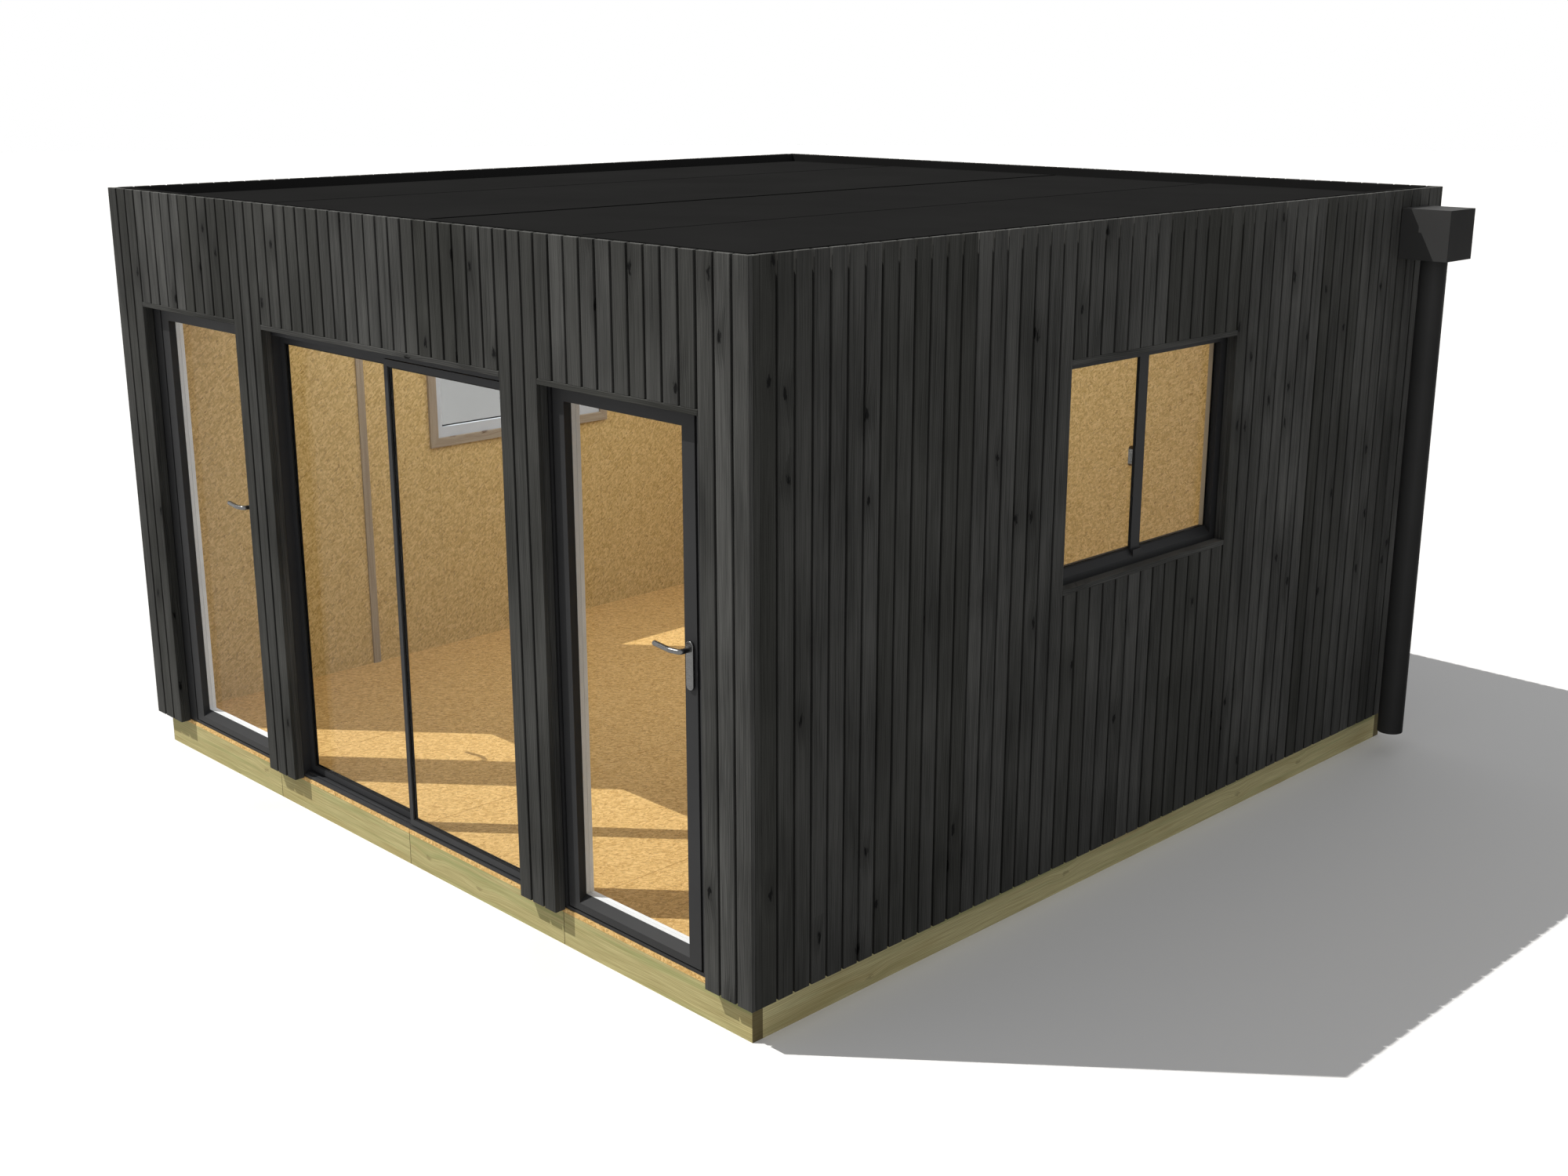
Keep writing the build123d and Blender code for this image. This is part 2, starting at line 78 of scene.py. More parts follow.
# %% [markdown]
# Every material below is a small tree of nodes, so a few helpers keep the cells short.
# put() adds one node, sets its options and fills or links its sockets.
# The others wrap what is used most: arithmetic, a range, a mix, a noise, a sum of weighted values, a
# place stretched by its own scale along each axis, and a colour with others laid over it.
# A range is written as two values, mostly followed by the two that they turn into.

# %% Node helpers
def put(tree, kind, sockets=None, **options):
    node = tree.nodes.new(kind)
    for name, value in options.items():
        setattr(node, name, value)
    for key, value in (sockets or {}).items():
        if isinstance(value, bpy.types.NodeSocket):
            tree.links.new(value, node.inputs[key])
        else:
            node.inputs[key].default_value = value
    return node


def maths(tree, operation, first, second=0.0):
    return put(tree, "ShaderNodeMath", {0: first, 1: second}, operation=operation).outputs[0]


def times(tree, first, second):
    return maths(tree, "MULTIPLY", first, second)


def spread(tree, value, low, high, to_low=0.0, to_high=1.0):
    sockets = {0: value, 1: low, 2: high, 3: to_low, 4: to_high}
    return put(tree, "ShaderNodeMapRange", sockets).outputs[0]


def mix_value(tree, share, first, second):
    return put(tree, "ShaderNodeMix", {0: share, 2: first, 3: second}).outputs[0]


def mix_colour(tree, share, first, second, mode="MIX"):
    sockets = {0: share, 6: first, 7: second}
    return put(tree, "ShaderNodeMix", sockets, data_type="RGBA", blend_type=mode).outputs[2]


def noise(tree, vector, scale=1.0, detail=2.0, roughness=0.5):
    sockets = {"Vector": vector, "Scale": scale, "Detail": detail, "Roughness": roughness}
    return put(tree, "ShaderNodeTexNoise", sockets).outputs[0]


def cells_of(tree, vector):
    sockets = {"Vector": vector, "Scale": 1.0}
    return put(tree, "ShaderNodeTexVoronoi", sockets, voronoi_dimensions="2D").outputs


def vector_of(tree, x, y, z=0.0):
    return put(tree, "ShaderNodeCombineXYZ", {0: x, 1: y, 2: z}).outputs[0]


def weighed(tree, *parts):
    total = None
    for value, weight in parts:
        part = times(tree, value, weight)
        total = part if total is None else maths(tree, "ADD", total, part)
    return total


def stretched(tree, scales, *values):
    scaled = [times(tree, value, scale) for value, scale in zip(values, scales)]
    return vector_of(tree, *scaled)


def shaded(tree, colour, level):
    return mix_colour(tree, 1.0, colour, vector_of(tree, level, level, level), "MULTIPLY")


def layered(tree, colour, *layers):
    for share, tint in layers:
        colour = mix_colour(tree, share, colour, tint)
    return colour


def axes_of(tree):
    place = put(tree, "ShaderNodeTexCoord").outputs["Object"]
    return put(tree, "ShaderNodeSeparateXYZ", {0: place}).outputs


def facing_of(tree):
    normal = put(tree, "ShaderNodeNewGeometry").outputs["Normal"]
    return put(tree, "ShaderNodeSeparateXYZ", {0: normal}).outputs


def attribute_of(tree, name):
    return put(tree, "ShaderNodeAttribute", attribute_name=name).outputs["Fac"]


def new_group(name, inputs, outputs):
    tree = bpy.data.node_groups.new(name, "ShaderNodeTree")
    for label in inputs:
        tree.interface.new_socket(label, in_out="INPUT", socket_type="NodeSocketFloat")
    for label in outputs:
        tree.interface.new_socket(label, in_out="OUTPUT", socket_type="NodeSocketFloat")
    return tree, put(tree, "NodeGroupInput").outputs, put(tree, "NodeGroupOutput").inputs


def place_group(tree, group, sockets):
    return put(tree, "ShaderNodeGroup", sockets, node_tree=group).outputs


print("node helpers ready")

# %% [markdown]
# Timber shows fine fibres, growth rings cut into narrow lines, broader streaks, and a few knots with a
# dark halo that the lines bend round.
# Four different timbers here need that, so it is one shader group fed with two distances in metres:
# across the grain and along it. A number for each piece shifts the pattern, so no two boards match.
# Cells of a stretched Voronoi texture place the knots. Only some of the cells get one, and most of the
# knots fall to a few boards. A sine over the distance across the grain draws the ring lines.
# Scales are per metre: across the grain, along it and per piece. Weights are for the distance across,
# the bend round a knot and a slow waver.

# %% Grain group
across_step = 5.3
along_step = 9.7
piece_shift = 37.0
knot_cells = (6.5, 3.0)
knot_luck = 13.7
knot_rarity = 1.8
knot_reach = (0.32, 0.03)
knot_core = (0.066, 0.035)
ragged_scale = (150.0, 45.0, piece_shift)
ragged_share = 0.16
waver_scale = (9.0, 2.2, piece_shift)
fibre_weights = (170.0, 2.2, 2.5)
fibre_scale = (1.0, 4.0, piece_shift)
fibre_roughness = 0.62
fibre_relief = 0.6
ring_pitch = 0.0065
ring_weights = (math.tau / ring_pitch, 9.0, 26.0)
ring_reach = (-0.7, 1.0)
streaks_per_metre = 46.0
streak_scale = (1.0, 1.1, piece_shift)
streak_reach = (0.32, 0.68)
patch_scale = (9.0, 1.7, piece_shift)
noise_reach = (0.3, 0.7)


def build_grain():
    tree, given, result = new_group(
        "timber_grain", ("Across", "Along", "Piece"),
        ("Fibre", "Ring", "Streak", "Patch", "Halo", "Knot", "Height"))
    piece = given["Piece"]
    across = weighed(tree, (given["Across"], 1.0), (piece, across_step))
    along = weighed(tree, (given["Along"], 1.0), (piece, along_step))
    cell = stretched(tree, knot_cells, across, along)
    knots = cells_of(tree, cell)
    chance = put(tree, "ShaderNodeSeparateColor", {0: knots["Color"]}).outputs[0]
    knotty = maths(tree, "FRACT", times(tree, piece, knot_luck))
    chosen = maths(tree, "LESS_THAN", chance, maths(tree, "POWER", knotty, knot_rarity))
    bend = times(tree, spread(tree, knots["Distance"], *knot_reach), chosen)
    ragged = maths(tree, "SUBTRACT", noise(tree, stretched(tree, ragged_scale, across, along, piece)), 0.5)
    rough_distance = weighed(tree, (knots["Distance"], 1.0), (ragged, ragged_share))
    core = times(tree, spread(tree, rough_distance, *knot_core), chosen)
    waver = noise(tree, stretched(tree, waver_scale, across, along, piece), detail=1.0)
    bent = weighed(tree, *zip((across, bend, waver), fibre_weights))
    fibre_place = stretched(tree, fibre_scale, bent, along, piece)
    fibre = noise(tree, fibre_place, detail=4.0, roughness=fibre_roughness)
    turns = weighed(tree, *zip((across, bend, waver), ring_weights))
    leaning = weighed(tree, (across, streaks_per_metre), (bend, 1.0))
    streak = noise(tree, stretched(tree, streak_scale, leaning, along, piece))
    patch = noise(tree, stretched(tree, patch_scale, across, along, piece))
    made = {
        "Fibre": spread(tree, fibre, *noise_reach),
        "Ring": spread(tree, maths(tree, "SINE", turns), *ring_reach),
        "Streak": spread(tree, streak, *streak_reach),
        "Patch": spread(tree, patch, *noise_reach),
        "Halo": bend,
        "Knot": core,
        "Height": weighed(tree, (fibre, fibre_relief), (streak, 1.0), (core, -1.0)),
    }
    for label, value in made.items():
        tree.links.new(value, result[label])
    return tree


grain_group = build_grain()
print("grain group:", len(grain_group.nodes), "nodes")

# %% [markdown]
# Strand board is pressed from thin flakes of wood that lie in all directions in the plane of the board.
# Layers of stretched Voronoi cells, each turned by its own fixed angle, stand for the flakes.
# A layer shows only where its own cell wins a chance, so flakes of one layer lie over those of the next.

# %% Strand group
flake_turns = (0.35, 1.45, 2.35, 2.95, 0.9)
flake_length = 0.016
flake_width = 0.0055
flakes_per_metre = (1 / flake_width, 1 / flake_length, 1.0)
layer_step = Vector((3.7, 8.1, 0.0))
bottom_depth = 0.4
top_chance = 0.52
dark_chance = 0.94


def build_strands():
    tree, given, result = new_group("strand_flakes", ("Across", "Along"), ("Tone", "Height", "Dark"))
    flat = vector_of(tree, given["Across"], given["Along"])
    tone = None
    for layer, turn in enumerate(flake_turns):
        turned = put(tree, "ShaderNodeVectorRotate", {"Vector": flat, "Angle": turn},
                     rotation_type="Z_AXIS").outputs[0]
        shaped = put(tree, "ShaderNodeVectorMath", {0: turned, 1: flakes_per_metre},
                     operation="MULTIPLY").outputs[0]
        moved = put(tree, "ShaderNodeVectorMath", {0: shaped, 1: layer_step * layer},
                    operation="ADD").outputs[0]
        channels = put(tree, "ShaderNodeSeparateColor", {0: cells_of(tree, moved)["Color"]}).outputs
        mark = maths(tree, "GREATER_THAN", channels[2], dark_chance)
        if tone is None:
            tone, dark = channels[0], mark
            depth = times(tree, channels[1], bottom_depth)
        else:
            wins = maths(tree, "GREATER_THAN", channels[1], top_chance)
            tone = mix_value(tree, wins, tone, channels[0])
            depth = mix_value(tree, wins, depth, channels[1])
            dark = mix_value(tree, wins, dark, mark)
    for label, value in (("Tone", tone), ("Height", depth), ("Dark", dark)):
        tree.links.new(value, result[label])
    return tree


strand_group = build_strands()
print("strand group:", len(strand_group.nodes), "nodes")

# %% [markdown]
# Coated metal, plastic and roofing sheet aren't perfectly even: they carry faint clouds, a fine grain
# and a little dust. One group gives all of them a cloud, a fine speckle and a height for the bump.

# %% Mottle group
speckles_per_cloud = 160.0
cloud_roughness = 0.6
cloud_relief = 0.3


def build_mottle():
    tree, given, result = new_group("faint_mottle", ("X", "Y", "Z", "Size"), ("Cloud", "Speckle", "Height"))
    place = vector_of(tree, given["X"], given["Y"], given["Z"])
    coarse = maths(tree, "DIVIDE", 1.0, given["Size"])
    cloud = noise(tree, place, coarse, detail=4.0, roughness=cloud_roughness)
    speckle = noise(tree, place, times(tree, coarse, speckles_per_cloud))
    tree.links.new(spread(tree, cloud, *noise_reach), result["Cloud"])
    tree.links.new(spread(tree, speckle, *noise_reach), result["Speckle"])
    tree.links.new(weighed(tree, (cloud, cloud_relief), (speckle, 1.0)), result["Height"])
    return tree


mottle_group = build_mottle()
print("mottle group:", len(mottle_group.nodes), "nodes")

# %% [markdown]
# A new material starts with an empty tree, one Principled shader and the output.
# The shader's constant sockets are set here, and link_surface() links what changes over the surface: a
# colour, a roughness that follows one value, and a bump with its strength and depth.
# Timber is laid out by the level distance x + y and the height z. A piece whose "lying" attribute is 1
# has its grain along the level.

# %% Material helpers
def new_material(name, **constants):
    material = bpy.data.materials.new(name)
    material.use_nodes = True
    tree = material.node_tree
    tree.nodes.clear()
    shader = put(tree, "ShaderNodeBsdfPrincipled")
    for socket, value in constants.items():
        shader.inputs[socket.replace("_", " ")].default_value = value
    put(tree, "ShaderNodeOutputMaterial", {"Surface": shader.outputs[0]})
    return material, tree, shader.inputs


def link_surface(tree, shader, colour, value, rough, height, relief):
    strength, distance = relief
    bump = put(tree, "ShaderNodeBump", {"Height": height, "Strength": strength, "Distance": distance})
    tree.links.new(colour, shader["Base Color"])
    tree.links.new(spread(tree, value, 0.0, 1.0, *rough), shader["Roughness"])
    tree.links.new(bump.outputs[0], shader["Normal"])


def level_and_height(tree):
    x, y, z = axes_of(tree)
    return maths(tree, "ADD", x, y), z


def grain_of(tree, across, along, piece):
    return place_group(tree, grain_group, {"Across": across, "Along": along, "Piece": piece})


def piece_grain(tree, level, height):
    lying = attribute_of(tree, "lying")
    across = mix_value(tree, lying, level, height)
    along = mix_value(tree, lying, height, level)
    return grain_of(tree, across, along, attribute_of(tree, "piece"))


def mottle_of(tree, size):
    x, y, z = axes_of(tree)
    return place_group(tree, mottle_group, {"X": x, "Y": y, "Z": z, "Size": size})


def grey(level):
    return (level, level, level, 1)


print("material helpers ready")

# %% [markdown]
# The cladding is softwood with a black stain: the fibres stay visible as fine pale lines, some boards
# are greyer or greener than others, and the knots are almost pure black. Boards of one pack took the
# stain alike and were nailed up side by side, so a "pack" attribute sets the tone of a few neighbours,
# and soft clouds of weathering run over all of them.
# A face that looks up is paler, a painted highlight on the top ends of the boards.

# %% Black timber
grain_weights = {"Fibre": 0.34, "Ring": 0.24, "Streak": 0.14, "Patch": 0.28}
stain_dark = (0.014, 0.0143, 0.0137, 1)
stain_pale = (0.122, 0.122, 0.117, 1)
stain_green = (0.05, 0.051, 0.042, 1)
halo_black = (0.012, 0.012, 0.011, 1)
halo_depth = 0.42
knot_black = grey(0.005)
# painted highlight: the pale colour laid on faces that look up
painted_top_highlight = (0.16, 0.16, 0.152, 1)
green_of_pack = (0.5, 0.1, 0.0, 0.35)
tone_of_pack = (0.0, 1.0, 0.7, 1.34)
weather_scale = (2.4, 1.8)
tone_of_weather = (0.32, 0.68, 0.78, 1.16)
top_highlight_of_facing = (0.6, 0.95, 0.0, 0.45)
stain_rough = (0.85, 0.62)
stain_relief = (0.5, 0.0018)


def black_timber():
    material, tree, shader = new_material("black_timber", Specular_IOR_Level=0.06)
    level, height = level_and_height(tree)
    pack = attribute_of(tree, "pack")
    wood = piece_grain(tree, level, height)
    blended = weighed(tree, *((wood[label], weight) for label, weight in grain_weights.items()))
    stained = mix_colour(tree, blended, stain_dark, stain_pale)
    tinted = mix_colour(tree, spread(tree, pack, *green_of_pack), stained, stain_green)
    clouds = noise(tree, stretched(tree, weather_scale, level, height), detail=3.0)
    weather = spread(tree, clouds, *tone_of_weather)
    tone = times(tree, spread(tree, pack, *tone_of_pack), weather)
    colour = layered(tree, shaded(tree, tinted, tone),
                     (times(tree, wood["Halo"], halo_depth), halo_black),
                     (wood["Knot"], knot_black),
                     (spread(tree, facing_of(tree)[2], *top_highlight_of_facing), painted_top_highlight))
    link_surface(tree, shader, colour, blended, stain_rough, wood["Height"], stain_relief)
    return material


black_wood = black_timber()
print("material:", black_wood.name)

# %% [markdown]
# The base is pressure-treated softwood: straw yellow with a green cast, brown late-wood lines and a few
# green streaks, most of them near the upper edge. The shaded side bearers get a paler copy: painted light.
# The timbers lie flat, so the grain runs along x + y and z measures across it. The front bearers butt
# together over every joist, which shows as a fine dark line and a change of grain.

# %% Treated timber
bearer_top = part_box("front_bearers")[1].z
bearer_bay = 0.967
first_bay = -10 * bearer_bay
butt_half = 0.0016
butt_depth = 0.8
butt_brown = (0.09, 0.065, 0.03, 1)
green_band = 0.07
green_of_height = (0.3, 1.0)
green_of_streak = (0.4, 1.0, 0.0, 0.8)
salt_green = (0.35, 0.40, 0.16, 1)
brown_of_patch = (0.6, 1.0, 0.0, 0.35)
patch_brown = (0.50, 0.36, 0.13, 1)
treated_knot_depth = 0.35
treated_knot = (0.16, 0.10, 0.04, 1)
line_of_ring = (0.72, 1.0, 0.0, 0.4)
late_brown = (0.33, 0.25, 0.09, 1)
treated_rough = (0.82, 0.65)
treated_relief = (0.3, 0.0012)


def treated_timber(name, low, high, is_jointed):
    material, tree, shader = new_material(name, Specular_IOR_Level=0.2)
    x, y, z = axes_of(tree)
    bays = maths(tree, "DIVIDE", maths(tree, "SUBTRACT", x, first_bay), bearer_bay)
    bay = maths(tree, "FLOOR", bays)
    piece = put(tree, "ShaderNodeTexWhiteNoise", {"W": bay}, noise_dimensions="1D").outputs[0]
    wood = grain_of(tree, z, maths(tree, "ADD", x, y), piece)
    upper = spread(tree, z, bearer_top - green_band, bearer_top, *green_of_height)
    green = times(tree, spread(tree, wood["Streak"], *green_of_streak), upper)
    colour = layered(tree, mix_colour(tree, wood["Fibre"], low, high),
                     (green, salt_green),
                     (spread(tree, wood["Patch"], *brown_of_patch), patch_brown),
                     (times(tree, wood["Knot"], treated_knot_depth), treated_knot),
                     (spread(tree, wood["Ring"], *line_of_ring), late_brown))
    if is_jointed:
        from_middle = maths(tree, "ABSOLUTE", maths(tree, "SUBTRACT", maths(tree, "FRACT", bays), 0.5))
        butt = maths(tree, "GREATER_THAN", from_middle, 0.5 - butt_half / bearer_bay)
        colour = mix_colour(tree, times(tree, butt, butt_depth), colour, butt_brown)
    link_surface(tree, shader, colour, wood["Fibre"], treated_rough, wood["Height"], treated_relief)
    return material


treated_wood = treated_timber("treated_timber", (0.42, 0.35, 0.155, 1), (0.69, 0.62, 0.31, 1), True)
# a paler copy of the same timber for the shaded side bearers, painted light
side_wood_painted_pale = treated_timber("treated_timber_sides", (0.64, 0.55, 0.275, 1), (0.92, 0.85, 0.48, 1), False)
print("materials:", treated_wood.name, side_wood_painted_pale.name)

# %% [markdown]
# The pine trims round the windows inside are planed and left bare, with a pinkish brown tone.
# Some lie flat and some stand, which each board says in its own "lying" attribute.

# %% Pine
pine_dark = (0.32, 0.245, 0.17, 1)
pine_pale = (0.455, 0.385, 0.29, 1)
pine_streak = (0.27, 0.2, 0.14, 1)
pine_knot = (0.12, 0.06, 0.03, 1)
pine_knot_depth = 0.8
dark_of_streak = (0.5, 1.0, 0.0, 0.5)
pine_rough = (0.62, 0.5)
pine_relief = (0.2, 0.0008)


def pine_timber():
    material, tree, shader = new_material("planed_pine", Specular_IOR_Level=0.25)
    wood = piece_grain(tree, *level_and_height(tree))
    colour = layered(tree, mix_colour(tree, wood["Fibre"], pine_dark, pine_pale),
                     (spread(tree, wood["Streak"], *dark_of_streak), pine_streak),
                     (times(tree, wood["Knot"], pine_knot_depth), pine_knot))
    link_surface(tree, shader, colour, wood["Fibre"], pine_rough, wood["Height"], pine_relief)
    return material


pine_wood = pine_timber()
print("material:", pine_wood.name)

# %% [markdown]
# Floor and lining are strand board. The pattern is flat, so the face's own direction picks which two
# of x, y and z to use: x and y on the floor, otherwise the level distance and z.
# Outside, under the cladding, the same wall panels carry a black membrane, which shows in the grooves.
# The deck comes from a more orange lot than the walls, and its sawn edge is paler than its face.
# Sunlight that bounces off the deck would dye the whole room orange, which the picture doesn't show,
# so rays that only carry soft light meet a greyer deck.

# %% Strand board
wall_outer_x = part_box("right_wall")[1].x
wall_outer_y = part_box("back_wall")[1].y
membrane_reach = 0.006
membrane_black = grey(0.012)
level_limit = 0.7
middle_place = 0.45
dark_flake = (0.25, 0.13, 0.035, 1)
dark_flake_depth = 0.4
edge_gain = grey(1.35)
bounce_grey = (0.45, 0.42, 0.37, 1)
bounce_share = 0.6
flake_rough = (0.75, 0.58)
flake_relief = (0.12, 0.0006)


def strand_board(name, dark, middle_tone, pale, has_membrane):
    material, tree, shader = new_material(name, Specular_IOR_Level=0.2)
    x, y, z = axes_of(tree)
    level = maths(tree, "GREATER_THAN", maths(tree, "ABSOLUTE", facing_of(tree)[2]), level_limit)
    across = mix_value(tree, level, maths(tree, "ADD", x, y), x)
    along = mix_value(tree, level, z, y)
    flakes = place_group(tree, strand_group, {"Across": across, "Along": along})
    ramp = put(tree, "ShaderNodeValToRGB", {0: flakes["Tone"]})
    ramp.color_ramp.elements[0].color = dark
    ramp.color_ramp.elements[1].color = pale
    ramp.color_ramp.elements.new(middle_place).color = middle_tone
    dark_share = times(tree, flakes["Dark"], dark_flake_depth)
    colour = mix_colour(tree, dark_share, ramp.outputs[0], dark_flake)
    if has_membrane:
        past_x = maths(tree, "GREATER_THAN", maths(tree, "ABSOLUTE", x), wall_outer_x - membrane_reach)
        past_y = maths(tree, "GREATER_THAN", maths(tree, "ABSOLUTE", y), wall_outer_y - membrane_reach)
        colour = mix_colour(tree, maths(tree, "MAXIMUM", past_x, past_y), colour, membrane_black)
    else:
        upright = maths(tree, "SUBTRACT", 1.0, level)
        edged = mix_colour(tree, upright, colour, edge_gain, "MULTIPLY")
        soft_ray = put(tree, "ShaderNodeLightPath").outputs["Is Diffuse Ray"]
        colour = mix_colour(tree, times(tree, soft_ray, bounce_share), edged, bounce_grey)
    link_surface(tree, shader, colour, flakes["Tone"], flake_rough, flakes["Height"], flake_relief)
    return material


deck_board = strand_board("strand_board_deck", (0.49, 0.29, 0.092, 1), (0.625, 0.395, 0.147, 1),
                          (0.78, 0.53, 0.225, 1), False)
wall_board = strand_board("strand_board_wall", (0.52, 0.345, 0.115, 1), (0.655, 0.458, 0.183, 1),
                          (0.81, 0.60, 0.28, 1), True)
print("materials:", deck_board.name, wall_board.name)

# %% [markdown]
# Door and window profiles are powder coated: dark grey outside, white inside, and the change of colour
# is hidden at the glass. A mask on the distance through the wall gives both colours on one piece.
# The mullion of a window is dark on both faces, so the mask stops beside it. Inside, the jambs of the right
# window get a pinkish brown in place of their white, painted shade and warm bounce light, and its lower
# rail stays dark, so that mask leaves out faces that look up. The sliding door is dark on both faces. The
# coat has a fine orange-peel speckle.

# %% Coated profiles
# The three darks are one coat in different tones: the slider's is paler, painted light in its shaded
# opening, and the windows' is darker, painted shade.
slider_dark = (0.041, 0.042, 0.045, 1)
door_dark = (0.038, 0.0385, 0.040, 1)
window_dark = (0.026, 0.0265, 0.028, 1)
white_coat = (0.88, 0.90, 0.94, 1)
# The left window's inside white is greyer and cooler than the doors': painted shade.
shaded_white = (0.58, 0.62, 0.67, 1)
# painted shade and warm bounce light, standing in for the white of the right window's jambs
painted_warm_shade = (0.50, 0.42, 0.31, 1)
change_depth = 0.017
door_change_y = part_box("left_door_glass")[0].y + change_depth
pane_low, pane_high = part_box("right_window_glass")
window_change_x = pane_low.x
mullion_centre = (pane_low.y + pane_high.y) / 2
mullion_half = 0.029
looks_up = 0.5
coat_cloud = 0.35
tone_of_coat = (0.0, 1.0, 0.94, 1.12)
coat_rough = (0.42, 0.56)
coat_relief = (0.08, 0.0003)


def coated_profile(name, outer, inner=None, inside_mask=None):
    material, tree, shader = new_material(name, Specular_IOR_Level=0.1)
    coat = mottle_of(tree, coat_cloud)
    both = outer if inside_mask is None else mix_colour(tree, inside_mask(tree), outer, inner)
    colour = shaded(tree, both, spread(tree, coat["Cloud"], *tone_of_coat))
    link_surface(tree, shader, colour, coat["Speckle"], coat_rough, coat["Height"], coat_relief)
    return material


def behind_door_glass(tree):
    return maths(tree, "GREATER_THAN", axes_of(tree)[1], door_change_y)


def behind_window_glass(tree):
    x, y, _ = axes_of(tree)
    from_mullion = maths(tree, "ABSOLUTE", maths(tree, "SUBTRACT", y, mullion_centre))
    inner = maths(tree, "LESS_THAN", maths(tree, "ABSOLUTE", x), window_change_x)
    return times(tree, inner, maths(tree, "GREATER_THAN", from_mullion, mullion_half))


def behind_right_window_glass(tree):
    not_upward = maths(tree, "LESS_THAN", facing_of(tree)[2], looks_up)
    return times(tree, behind_window_glass(tree), not_upward)


door_coat = coated_profile("door_profile_coat", door_dark, white_coat, behind_door_glass)
left_window_coat = coated_profile("left_window_coat", window_dark, shaded_white, behind_window_glass)
right_window_coat = coated_profile("right_window_coat", window_dark, painted_warm_shade, behind_right_window_glass)
slider_coat = coated_profile("slider_profile_coat", slider_dark)
print("materials:", door_coat.name, left_window_coat.name, right_window_coat.name, slider_coat.name)

# %% [markdown]
# The glass is clear. A solid glass shader blocks lamp light in a path tracer, so rays that only carry
# shadow or soft light pass through a Transparent shader, and the sun reaches the floor of the room.
# The picture shows no reflections, which is what a low index of refraction gives.
# The left window's glass is tinted grey, painted shade that dims the daylight seen through it.

# %% Glass
passing_tint = (0.96, 0.97, 0.97, 1)


def clear_glass(name, tint):
    material, tree, _ = new_material(
        name, Base_Color=tint, Roughness=0.0, IOR=1.1, Transmission_Weight=1.0)
    path = put(tree, "ShaderNodeLightPath").outputs
    soft = maths(tree, "MAXIMUM", path["Is Shadow Ray"], path["Is Diffuse Ray"])
    clear = put(tree, "ShaderNodeBsdfTransparent", {0: passing_tint}).outputs[0]
    output = next(node for node in tree.nodes if node.type == "OUTPUT_MATERIAL")
    solid = next(node for node in tree.nodes if node.type == "BSDF_PRINCIPLED")
    both = put(tree, "ShaderNodeMixShader", {0: soft, 1: solid.outputs[0], 2: clear})
    tree.links.new(both.outputs[0], output.inputs["Surface"])
    return material


door_glass = clear_glass("clear_glass", (0.98, 0.99, 0.99, 1))
# painted shade: a grey tint dims the view through the left window
shade_tinted_glass = clear_glass("shade_tinted_glass", (0.335, 0.34, 0.34, 1))
print("materials:", door_glass.name, shade_tinted_glass.name)

# %% [markdown]
# Handles, hinges and pulls are satin steel: metal with fine brushed lines along its length,
# which a strongly stretched noise draws in the roughness and the bump.

# %% Satin steel
brush_scale = (60.0, 900.0, 900.0)
steel_dark = grey(0.115)
steel_pale = (0.19, 0.19, 0.188, 1)
brush_rough = (0.24, 0.36)
brush_relief = (0.05, 0.0002)


def satin_steel():
    material, tree, shader = new_material("satin_steel", Metallic=1.0)
    lines = noise(tree, stretched(tree, brush_scale, *axes_of(tree)))
    brushed = spread(tree, lines, *noise_reach)
    colour = mix_colour(tree, brushed, steel_dark, steel_pale)
    link_surface(tree, shader, colour, brushed, brush_rough, lines, brush_relief)
    return material


steel = satin_steel()
print("material:", steel.name)

# %% [markdown]
# The roof sheet is matt black rubber with faint dusty clouds. Where it is turned up inside the parapet,
# its faces that look away from the sun are paler, painted light. The hopper and pipe are dark grey
# plastic, and their faces that look away from the sun are darker, painted shade. One factor serves both.
# The seals round the glass are black rubber with a slight speckle, the laps of the roof are closed with
# matt sealant, and the spacers in the glass are pale plastic.

# %% Rubber and plastic
sun_way = Vector((0.559, 0.483, -1.0))
cloud_share = 0.7
painted_light_reach = (-0.45, 0.1)
smoother = 0.12
mottle_distance = 0.0004


def mottled(name, low, high, size, rough, level, strength, painted_light_gain=1.0):
    material, tree, shader = new_material(name, Specular_IOR_Level=level)
    mottle = mottle_of(tree, size)
    blended = weighed(tree, (mottle["Cloud"], cloud_share), (mottle["Speckle"], 1 - cloud_share))
    colour = mix_colour(tree, blended, low, high)
    # painted light and shade: the tone changes with how far a face turns away from the sun
    if painted_light_gain != 1.0:
        normal = put(tree, "ShaderNodeNewGeometry").outputs["Normal"]
        facing = put(tree, "ShaderNodeVectorMath", {0: normal, 1: -sun_way.normalized()},
                     operation="DOT_PRODUCT").outputs["Value"]
        colour = shaded(tree, colour, spread(tree, facing, *painted_light_reach, painted_light_gain, 1.0))
    link_surface(tree, shader, colour, mottle["Cloud"], (rough, rough - smoother), mottle["Height"],
                 (strength, mottle_distance))
    return material


sheet_finish = {"low": grey(0.017), "high": grey(0.021), "size": 0.6, "rough": 1.0, "level": 0.0,
                "strength": 0.2}
roof_rubber = mottled("roof_sheet", **sheet_finish)
# the upstand's faces that look away from the sun are painted paler
upstand_sheet = mottled("upstand_sheet", **sheet_finish, painted_light_gain=1.8)
